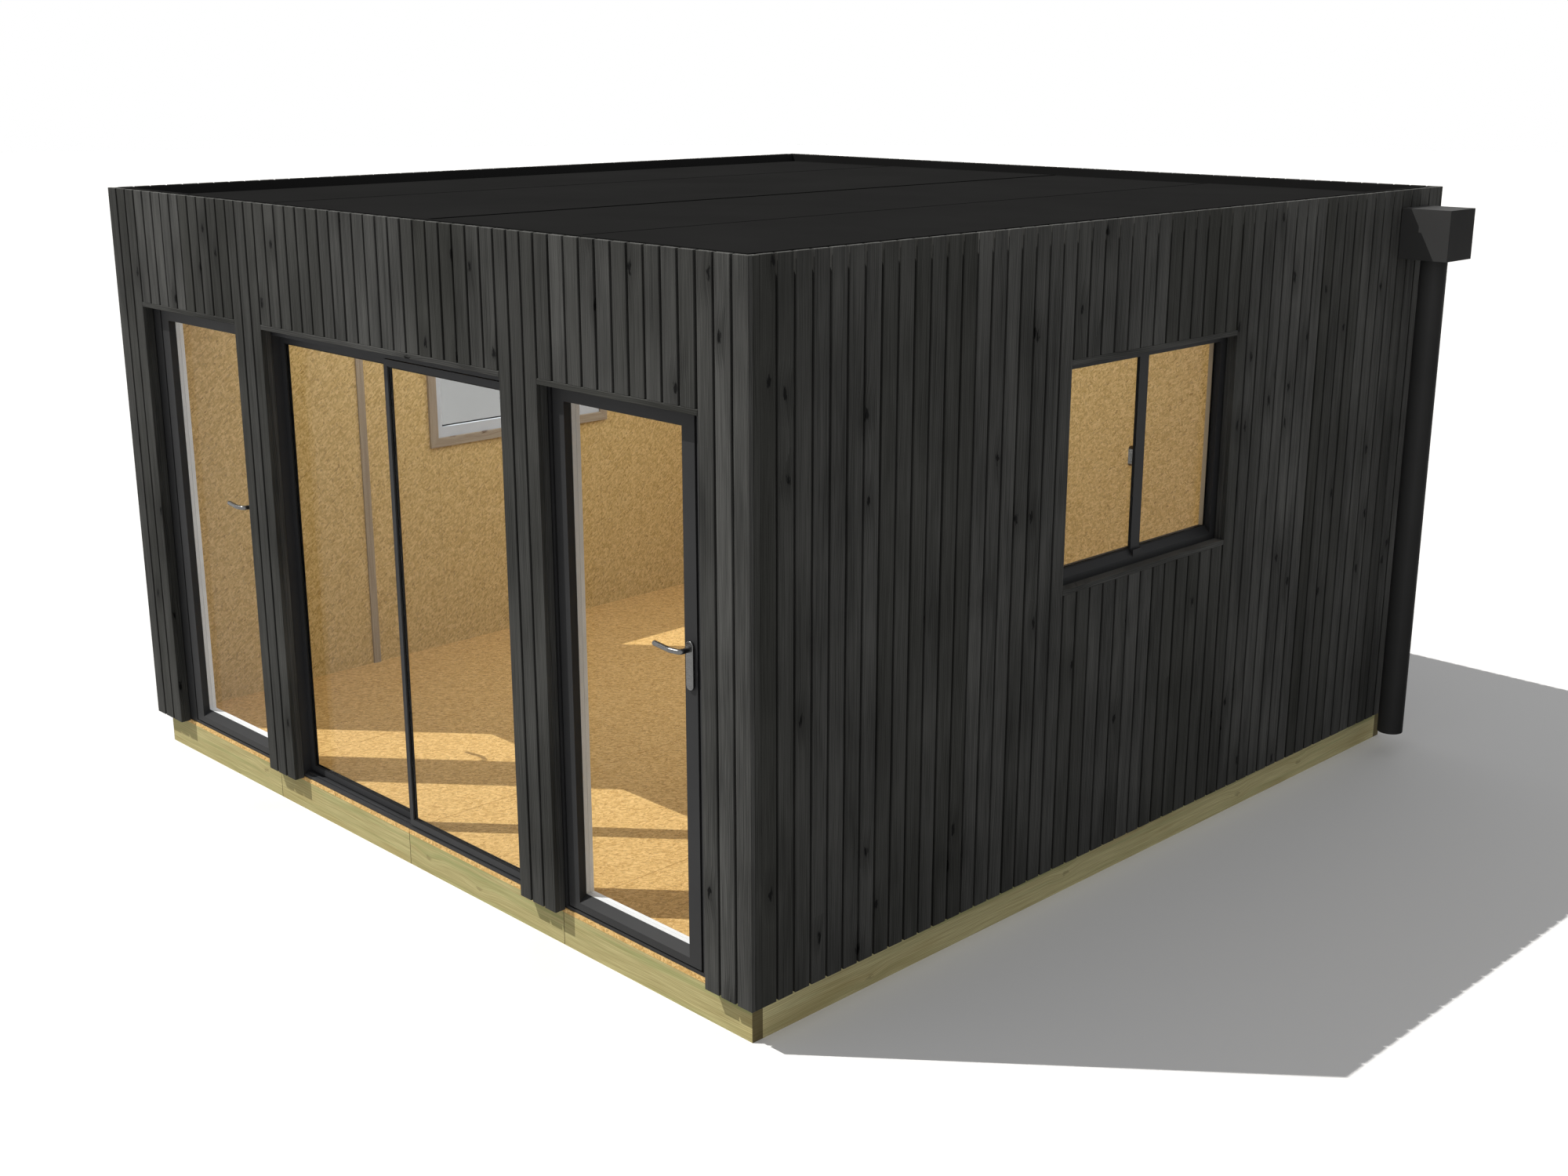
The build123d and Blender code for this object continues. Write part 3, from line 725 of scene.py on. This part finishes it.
# the hopper's and pipe's faces that look away from the sun get painted shade
rain_plastic = mottled("rain_plastic", grey(0.058), grey(0.068), size=0.4, rough=0.6, level=0.03,
                       strength=0.06, painted_light_gain=0.28)
seal_rubber = mottled("seal_rubber", grey(0.010), grey(0.016), size=0.1, rough=0.75, level=0.2,
                      strength=0.1)
sealant = mottled("roof_sealant", grey(0.009), grey(0.012), size=0.3, rough=1.0, level=0.0, strength=0.1)
pale_spacer = mottled("pale_spacer", (0.78, 0.80, 0.83, 1), (0.86, 0.88, 0.91, 1), size=0.1, rough=0.65,
                      level=0.1, strength=0.05)
print("materials:", roof_rubber.name, upstand_sheet.name, rain_plastic.name)
print("materials:", seal_rubber.name, sealant.name, pale_spacer.name)

# %% [markdown]
# Each finish goes on the CAD nodes of its slot. Nodes that a later cell replaces need none.

# %% Dress the CAD nodes
def dress(material, *names):
    for name in names:
        slots = nodes[name].data.materials
        slots.clear()
        slots.append(material)


dress(treated_wood, "front_bearers", "back_bearers", "floor_joists")
dress(side_wood_painted_pale, "side_bearers")
dress(wall_board, "front_wall_piers", "front_wall_header", "back_wall", "left_wall", "right_wall",
      "roof_deck")
dress(door_coat, "left_door_frame", "left_door_leaf", "right_door_frame", "right_door_leaf")
dress(slider_coat, "slider_frame", "fixed_leaf", "sliding_leaf")
dress(left_window_coat, "left_window_frame")
dress(right_window_coat, "right_window_frame")
dress(door_glass, "left_door_glass", "right_door_glass", "fixed_leaf_glass", "sliding_leaf_glass",
      "right_window_glass")
dress(shade_tinted_glass, "left_window_glass")
dress(steel, "left_door_handles", "right_door_handles", "left_door_hinge_pins", "right_door_hinge_pins",
      "left_door_hinge_knuckles", "right_door_hinge_knuckles", "sliding_leaf_pulls", "window_handles")
dress(pine_wood, "left_wall_strip")
dress(roof_rubber, "roof_membrane")
dress(upstand_sheet, "parapet_upstands")
dress(rain_plastic, "rain_hopper", "downpipe")
print("dressed nodes:", sum(1 for node in nodes.values() if node.data.materials))

# %% [markdown]
# Most new pieces are sawn lengths of timber. saw() starts from a cube, scales it between two corners and
# takes the sharp edge off with a one-step bevel. Three float attributes travel with each length:
# "piece" is its own random number, "pack" is mostly that of its pack, and "lying" is 1 where its grain
# runs level. Both generators have fixed seeds, so the building comes out the same every time.
# finish_piece() turns the bmesh into an object at the origin that rides on a body of the frame.

# %% Timber helpers
board_seed = 31
pack_seed = 5367
rng = random.Random(board_seed)
pack_rng = random.Random(pack_seed)
sawn_ease = 0.0015
pack_sizes = (2, 5)
pack_share = 0.72
open_pack = {"left": 0, "tone": 0.5}


def pack_number():
    if open_pack["left"] == 0:
        open_pack["left"] = pack_rng.randint(*pack_sizes)
        open_pack["tone"] = pack_rng.random()
    open_pack["left"] -= 1
    return pack_share * open_pack["tone"] + (1 - pack_share) * pack_rng.random()


def new_timbers():
    work = bmesh.new()
    for label in ("piece", "pack", "lying"):
        work.verts.layers.float.new(label)
    return work


def saw(work, low, high, ease=sawn_ease, lying=0.0):
    low, high = Vector(low), Vector(high)
    middle = Matrix.Translation((low + high) / 2)
    size = Matrix.Diagonal((*(high - low), 1.0))
    made = bmesh.ops.create_cube(work, size=1.0, matrix=middle @ size)
    edges = list(dict.fromkeys(edge for vert in made["verts"] for edge in vert.link_edges))
    eased = bmesh.ops.bevel(work, geom=edges, offset=ease, segments=1, profile=0.5, affect="EDGES",
                            material=-1)
    marks = {"piece": rng.random(), "pack": pack_number(), "lying": lying}
    for label, number in marks.items():
        layer = work.verts.layers.float[label]
        for vert in eased["verts"]:
            vert[layer] = number
    return eased["verts"]


def mesh_object(work, name, material):
    mesh = bpy.data.meshes.new(name)
    work.to_mesh(mesh)
    work.free()
    mesh.materials.append(material)
    return add_object(name, mesh)


def finish_piece(work, name, material, body="building"):
    piece = mesh_object(work, name, material)
    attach(piece, body)
    print("piece:", name, "on", body, "faces", len(piece.data.polygons))
    return piece


print("timber helpers ready, packs of", pack_sizes[0], "to", pack_sizes[1], "boards")

# %% [markdown]
# The front is clad between its openings: two end piers, two middle piers, and shorter boards over the
# doors. Each stretch gets a whole number of boards with the same open groove between them.
# Behind the boards lie level battens, so the grooves are deep and dark and light falls through them at
# the parapet. A level strip closes the boards over each opening.

# %% Front boards
(clad_left, clad_front, clad_low), (clad_right, batten_plane_y, clad_top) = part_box("front_cladding_piers")
clad_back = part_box("back_cladding")[1].y
head_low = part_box("front_cladding_heads")[0].z
board_pitch = 0.076
groove = 0.010
board_thickness = 0.018
face_play = 0.0012
end_pier = 0.222
middle_pier = 0.204
slider_cover = 0.030
slider_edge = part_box("slider_frame")[1].x - slider_cover
strip_height = 0.019
door_inner = slider_edge + middle_pier
door_outer = clad_right - end_pier


def board_spans(start, end, open_ends):
    length = end - start - groove if open_ends else end - start + groove
    count = max(1, round(length / board_pitch))
    pitch = length / count
    first = start + groove if open_ends else start
    return [(first + index * pitch, first + (index + 1) * pitch - groove) for index in range(count)]


def front_board(work, span, low, high):
    back_off = rng.random() * face_play
    saw(work, (span[0], clad_front + back_off, low), (span[1], clad_front + board_thickness, high))


front = new_timbers()
pier_stretches = ((clad_left, -door_outer), (-door_inner, -slider_edge),
                  (slider_edge, door_inner), (door_outer, clad_right))
head_stretches = ((-door_outer, -door_inner), (-slider_edge, slider_edge), (door_inner, door_outer))
for start, end in pier_stretches:
    for span in board_spans(start, end, False):
        front_board(front, span, clad_low, clad_top)
for start, end in head_stretches:
    for span in board_spans(start, end, True):
        front_board(front, span, head_low + strip_height, clad_top)
    saw(front, (start, clad_front, head_low), (end, batten_plane_y, head_low + strip_height), lying=1.0)
front_boards = finish_piece(front, "front_boards", black_wood)
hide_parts("front_cladding_piers", "front_cladding_heads")

# %% [markdown]
# Both side walls carry the same boards as the front, interrupted by one window.
# The boards beside the window run the whole height, and those in line with it are cut above and below.

# %% Side and back boards
(_, window_low, window_sill), (_, window_high, _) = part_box("right_window_frame")
window_head_lift = 0.002
window_head = head_low + window_head_lift
side_stretches = ((-wall_outer_y, window_low, False), (window_low, window_high, True),
                  (window_high, wall_outer_y, False))


def side_board(work, side, span, low, high):
    back_off = rng.random() * face_play
    outer = side * (clad_right - back_off)
    inner = side * (clad_right - board_thickness)
    saw(work, (min(outer, inner), span[0], low), (max(outer, inner), span[1], high))


def side_strip(work, side, low, high):
    near, far = sorted((side * wall_outer_x, side * clad_right))
    saw(work, (near, window_low, low), (far, window_high, high), lying=1.0)


for side_name, side in (("left", -1), ("right", 1)):
    work = new_timbers()
    for start, end, at_window in side_stretches:
        for span in board_spans(start, end, at_window):
            if at_window:
                side_board(work, side, span, clad_low, window_sill - strip_height)
                side_board(work, side, span, window_head + strip_height, clad_top)
            else:
                side_board(work, side, span, clad_low, clad_top)
    side_strip(work, side, window_sill - strip_height, window_sill)
    side_strip(work, side, window_head, window_head + strip_height)
    boards = finish_piece(work, side_name + "_boards", black_wood)
    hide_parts(side_name + "_cladding")

back = new_timbers()
for span in board_spans(clad_left, clad_right, False):
    back_off = rng.random() * face_play
    saw(back, (span[0], clad_back - board_thickness, clad_low), (span[1], clad_back - back_off, clad_top))
back_boards = finish_piece(back, "back_boards", black_wood)
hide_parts("back_cladding")

# %% [markdown]
# The boards are nailed to level battens, and upright battens close the cavity at the corners and beside
# every opening. They could be left out, since little of them shows, but without them the boards would
# float and the reveals of the doors would stand open.

# %% Battens
batten_rows = (0.20, 0.75, 1.32, 1.88)
head_rows = (2.09, 2.36)
all_rows = batten_rows + head_rows
batten_height = 0.040
batten_clear = 0.0005
post_width = 0.026
corner_drop = 0.001
light_gap = 0.1
batten_front = clad_front + board_thickness + batten_clear
work = new_timbers()


def level_batten(work, low, high):
    saw(work, low, high, lying=1.0)


for start, end in pier_stretches:
    for post in (start, end - post_width):
        at_corner = post == clad_left or end == clad_right and post > start
        post_top = clad_top - corner_drop if at_corner else clad_top - light_gap
        saw(work, (post, batten_front, clad_low), (post + post_width, batten_plane_y, post_top))
    for row in all_rows:
        level_batten(work, (start + post_width, batten_front, row),
                     (end - post_width, batten_plane_y, row + batten_height))
for start, end in head_stretches:
    for row in head_rows:
        level_batten(work, (start, batten_front, row), (end, batten_plane_y, row + batten_height))
batten_back = clad_back - board_thickness - batten_clear
for row in all_rows:
    level_batten(work, (clad_left + post_width, wall_outer_y, row),
                 (clad_right - post_width, batten_back, row + batten_height))
for post in (clad_left, clad_right - post_width):
    saw(work, (post, wall_outer_y, clad_low), (post + post_width, batten_back, clad_top - corner_drop))
for side in (-1, 1):
    near, far = sorted((side * wall_outer_x, side * (clad_right - board_thickness - batten_clear)))
    for start, end in ((-wall_outer_y, window_low), (window_high, wall_outer_y)):
        for row in all_rows:
            level_batten(work, (near, start + post_width, row),
                         (far, end - post_width, row + batten_height))
        for post in (start, end - post_width):
            saw(work, (near, post, clad_low), (far, post + post_width, clad_top - light_gap))
    for row in (batten_rows[0], batten_rows[1], head_rows[1]):
        level_batten(work, (near, window_low, row), (far, window_high, row + batten_height))
finish_piece(work, "cladding_battens", black_wood)

# %% [markdown]
# The floor is laid in four lengths of strand board that meet over the joists, so thin joints run from
# front to back. Four slabs with a fine gap show that better than one slab with painted lines.

# %% Floor panels
deck_low, deck_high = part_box("floor_deck")
floor_bays = 4
floor_joint = 0.002
panel_ease = 0.0006
bay_width = (deck_high.x - deck_low.x) / floor_bays
work = new_timbers()
for bay in range(floor_bays):
    left = deck_low.x + bay * bay_width + (floor_joint / 2 if bay else 0)
    right = deck_low.x + (bay + 1) * bay_width - (floor_joint / 2 if bay < floor_bays - 1 else 0)
    saw(work, (left, deck_low.y, deck_low.z), (right, deck_high.y, deck_high.z), ease=panel_ease)
floor_panels = finish_piece(work, "floor_panels", deck_board)
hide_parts("floor_deck")

# %% [markdown]
# The roof is covered with lengths of rubber sheet laid from front to back. Each length laps over the
# next, and a bead of black sealant closes the lap, which shows as a thin dark line.
# A slab of two millimetres per length gives the step, and a narrow slab along it gives the bead.

# %% Roof sheets
roof_low, roof_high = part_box("roof_membrane")
upstand = 0.020
seam_places = (-1.10, -0.10, 0.90)
sheet_thickness = 0.002
sheet_lap = 0.05
sheet_ease = 0.0008
edges = [roof_low.x + upstand, *seam_places, roof_high.x - upstand]
work = new_timbers()
for index in range(len(edges) - 1):
    lift = sheet_thickness * (index % 2)
    start = edges[index] - (sheet_lap if index % 2 else 0)
    end = edges[index + 1] + (sheet_lap if index % 2 and index < len(edges) - 2 else 0)
    saw(work, (start, roof_low.y + upstand, roof_high.z + lift),
        (end, roof_high.y - upstand, roof_high.z + lift + sheet_thickness), ease=sheet_ease)
finish_piece(work, "roof_sheets", roof_rubber)

bead_width = 0.008
bead_rise = 0.001
bead_ease = 0.001
bead_top = roof_high.z + 2 * sheet_thickness + bead_rise
work = new_timbers()
for index, seam in enumerate(seam_places):
    middle = seam + (sheet_lap if index % 2 else -sheet_lap)
    saw(work, (middle - bead_width / 2, roof_low.y + upstand, roof_high.z),
        (middle + bead_width / 2, roof_high.y - upstand, bead_top), ease=bead_ease)
finish_piece(work, "roof_beads", sealant)

# %% [markdown]
# A black seal runs round the panes of the sliding door and the windows on both faces. The units of the
# two hinged doors show a pale spacer bar instead, which lies inside the unit at the edge of the profile.
# One plane is inset to make a ring, its middle is deleted and the ring is extruded to its depth,
# which is quicker and cleaner than four mitred strips. close_mesh() takes out faces without an area,
# turns the rest outwards and puts them in a fixed order.

# %% Glazing seals and spacers
slider_seal = 0.0045
window_seal = 0.0035
seal_depth = 0.003
spacer_width = 0.008
spacer_setback = 0.0015
glass_bite = 0.012
glass_foot = 0.015
weld_reach = 0.00001
order_way = Vector((0.83, 0.31, 0.47))


def ring(work, width, left, right, low, high, y0, y1, turn=None):
    middle = Vector(((left + right) / 2, y0, (low + high) / 2))
    stand = Matrix.Translation(middle) @ Matrix.Rotation(math.pi / 2, 4, "X")
    size = Matrix.Diagonal((right - left, high - low, 1.0, 1.0))
    made = bmesh.ops.create_grid(work, x_segments=1, y_segments=1, size=0.5, matrix=stand @ size)
    face = made["verts"][0].link_faces[0]
    rim = bmesh.ops.inset_region(work, faces=[face], thickness=width, use_boundary=True,
                                 use_even_offset=True)["faces"]
    bmesh.ops.delete(work, geom=[face], context="FACES_ONLY")
    grown = bmesh.ops.extrude_face_region(work, geom=rim)
    new_verts = [item for item in grown["geom"] if isinstance(item, bmesh.types.BMVert)]
    bmesh.ops.translate(work, verts=new_verts, vec=(0, y1 - y0, 0))
    if turn is not None:
        island = {vert for rim_face in rim for vert in rim_face.verts} | set(new_verts)
        bmesh.ops.transform(work, matrix=turn, verts=list(island))


def close_mesh(work):
    bmesh.ops.dissolve_degenerate(work, edges=work.edges[:], dist=weld_reach)
    bmesh.ops.recalc_face_normals(work, faces=work.faces[:])
    work.verts.sort(key=lambda vert: vert.co @ order_way)
    work.faces.sort(key=lambda face: face.calc_center_median() @ order_way)


for node_name, body in (("fixed_leaf_glass", "building"), ("sliding_leaf_glass", "sliding_door")):
    low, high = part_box(node_name)
    work = bmesh.new()
    for y0, y1 in ((low.y - seal_depth, low.y), (high.y, high.y + seal_depth)):
        ring(work, slider_seal, low.x + glass_bite, high.x - glass_bite, low.z + glass_foot,
             high.z - glass_bite, y0, y1)
    close_mesh(work)
    finish_piece(work, node_name.replace("glass", "seals"), seal_rubber, body)

for body in ("left_door", "right_door"):
    low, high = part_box(body + "_glass")
    work = bmesh.new()
    side_inset, foot_inset = glass_bite - spacer_width, glass_foot - spacer_width
    ring(work, spacer_width, low.x + side_inset, high.x - side_inset, low.z + foot_inset,
         high.z - side_inset, low.y + spacer_setback, high.y - spacer_setback)
    close_mesh(work)
    finish_piece(work, body + "_spacer", pale_spacer, body)

mullion_cap = 0.056
mullion_web = 0.026
work = bmesh.new()
for side, node_name in ((-1, "left_window_glass"), (1, "right_window_glass")):
    low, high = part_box(node_name)
    centre = side * (low.y + high.y) / 2
    outer, inner = (-high.x, -low.x) if side > 0 else (low.x, high.x)
    first, last = sorted((side * low.y, side * high.y))
    turn = Matrix.Rotation(side * math.pi / 2, 4, "Z")
    bottom, top = low.z + glass_foot, high.z - glass_bite
    for width, y0, y1 in ((mullion_cap, outer - seal_depth, outer),
                          (mullion_web, inner, inner + seal_depth)):
        ring(work, window_seal, first + glass_bite, centre - width / 2, bottom, top, y0, y1, turn)
        ring(work, window_seal, centre + width / 2, last - glass_bite, bottom, top, y0, y1, turn)
close_mesh(work)
finish_piece(work, "window_seals", seal_rubber)

# %% [markdown]
# Inside, each window is framed with four pine boards, mitred at the corners. Every board starts as a
# cube, and two cutting planes take its ends off at 45 degrees. Its grain then follows its own length.

# %% Window trims
trim_low, trim_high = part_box("window_trims")
trim_width = 0.045
trim_depth = 0.015
trim_ease = 0.0012


def mitred(work, low, high, cuts, lying):
    island = saw(work, low, high, ease=trim_ease, lying=lying)
    for point, normal in cuts:
        faces = list(dict.fromkeys(face for vert in island for face in vert.link_faces))
        edges = list(dict.fromkeys(edge for face in faces for edge in face.edges))
        cut = bmesh.ops.bisect_plane(work, geom=island + edges + faces, plane_co=point, plane_no=normal,
                                     clear_outer=True)["geom_cut"]
        rim = [item for item in cut if isinstance(item, bmesh.types.BMEdge)]
        bmesh.ops.holes_fill(work, edges=rim, sides=0)
        island = [vert for vert in island if vert.is_valid]
        island += [item for item in cut if isinstance(item, bmesh.types.BMVert)]
    number = rng.random()
    for vert in island:
        vert[work.verts.layers.float["piece"]] = number
        vert[work.verts.layers.float["lying"]] = lying


work = new_timbers()
for side in (-1, 1):
    near, far = sorted((side * trim_high.x, side * (trim_high.x - trim_depth)))
    y0, y1, z0, z1 = trim_low.y, trim_high.y, trim_low.z, trim_high.z
    corner_cuts = {
        "sill": (((0, y0, z0), (0, -1, 1)), ((0, y1, z0), (0, 1, 1))),
        "head": (((0, y0, z1), (0, -1, -1)), ((0, y1, z1), (0, 1, -1))),
        "front": (((0, y0, z0), (0, 1, -1)), ((0, y0, z1), (0, 1, 1))),
        "rear": (((0, y1, z0), (0, -1, -1)), ((0, y1, z1), (0, -1, 1))),
    }
    mitred(work, (near, y0, z0), (far, y1, z0 + trim_width), corner_cuts["sill"], 1.0)
    mitred(work, (near, y0, z1 - trim_width), (far, y1, z1), corner_cuts["head"], 1.0)
    mitred(work, (near, y0, z0), (far, y0 + trim_width, z1), corner_cuts["front"], 0.0)
    mitred(work, (near, y1 - trim_width, z0), (far, y1, z1), corner_cuts["rear"], 0.0)
close_mesh(work)
trim_boards = finish_piece(work, "window_trim_boards", pine_wood)
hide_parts("window_trims")

# %% [markdown]
# The stage is one large pale floor. It keeps the building's shadow, and the world behind it is white to
# the camera, to reflections and through glass, while its soft light on the object stays at a plain level.

# %% Floor and world
stage_radius = 60.0
stage_sides = 64
floor_grey = grey(0.45)
floor_white = grey(0.95)
floor_glow = 0.05
sky_level = 0.34


def seen_directly(tree):
    path = put(tree, "ShaderNodeLightPath").outputs
    through = maths(tree, "MAXIMUM", path["Is Glossy Ray"], path["Is Transmission Ray"])
    return maths(tree, "MAXIMUM", path["Is Camera Ray"], through)


floor_finish, floor_tree, floor_shader = new_material(
    "studio_floor", Specular_IOR_Level=0.0, Roughness=1.0, Emission_Color=(1, 1, 1, 1))
floor_seen = seen_directly(floor_tree)
floor_colour = mix_colour(floor_tree, floor_seen, floor_grey, floor_white)
floor_tree.links.new(floor_colour, floor_shader["Base Color"])
floor_emission = times(floor_tree, floor_seen, floor_glow)
floor_tree.links.new(floor_emission, floor_shader["Emission Strength"])
work = bmesh.new()
bmesh.ops.create_circle(work, cap_ends=True, segments=stage_sides, radius=stage_radius)
studio_floor = mesh_object(work, "studio_floor", floor_finish)

world = bpy.data.worlds.new("studio_world")
bpy.context.scene.world = world
world.use_nodes = True
sky = world.node_tree
sky.nodes.clear()
sky_strength = spread(sky, seen_directly(sky), 0.0, 1.0, sky_level, 1.0)
sky_light = put(sky, "ShaderNodeBackground", {"Color": (1, 1, 1, 1), "Strength": sky_strength})
put(sky, "ShaderNodeOutputWorld", {"Surface": sky_light.outputs[0]})
print("stage: floor and world, sky level", sky_level)

# %% [markdown]
# One sun comes from the front left and throws the shadow that the photograph shows. Its direction was
# measured from a roof corner and that corner's shadow. A wide, weak lamp under the ceiling stands for
# the light that the pale surroundings send into the room.

# %% Lamps
sun_data = bpy.data.lights.new("studio_sun", "SUN")
sun_data.energy = 3.15
sun_data.color = (1.0, 0.98, 0.94)
sun_data.angle = math.radians(0.25)
sun_object = add_object("studio_sun", sun_data)
sun_object.rotation_euler = sun_way.to_track_quat("-Z", "Y").to_euler()

room_data = bpy.data.lights.new("room_fill", "AREA")
room_data.shape = "RECTANGLE"
room_data.size, room_data.size_y = 2.6, 3.2
room_data.energy = 36.5
room_data.color = (0.92, 1.0, 1.08)
room_lamp = add_object("room_fill", room_data)
room_lamp.location = (-0.45, 0.1, 2.28)
room_lamp.visible_camera = False
room_lamp.visible_glossy = False
room_lamp.visible_transmission = False
bpy.context.scene.view_settings.view_transform = "Standard"
print("lamps: sun", sun_data.energy, "room", room_data.energy)
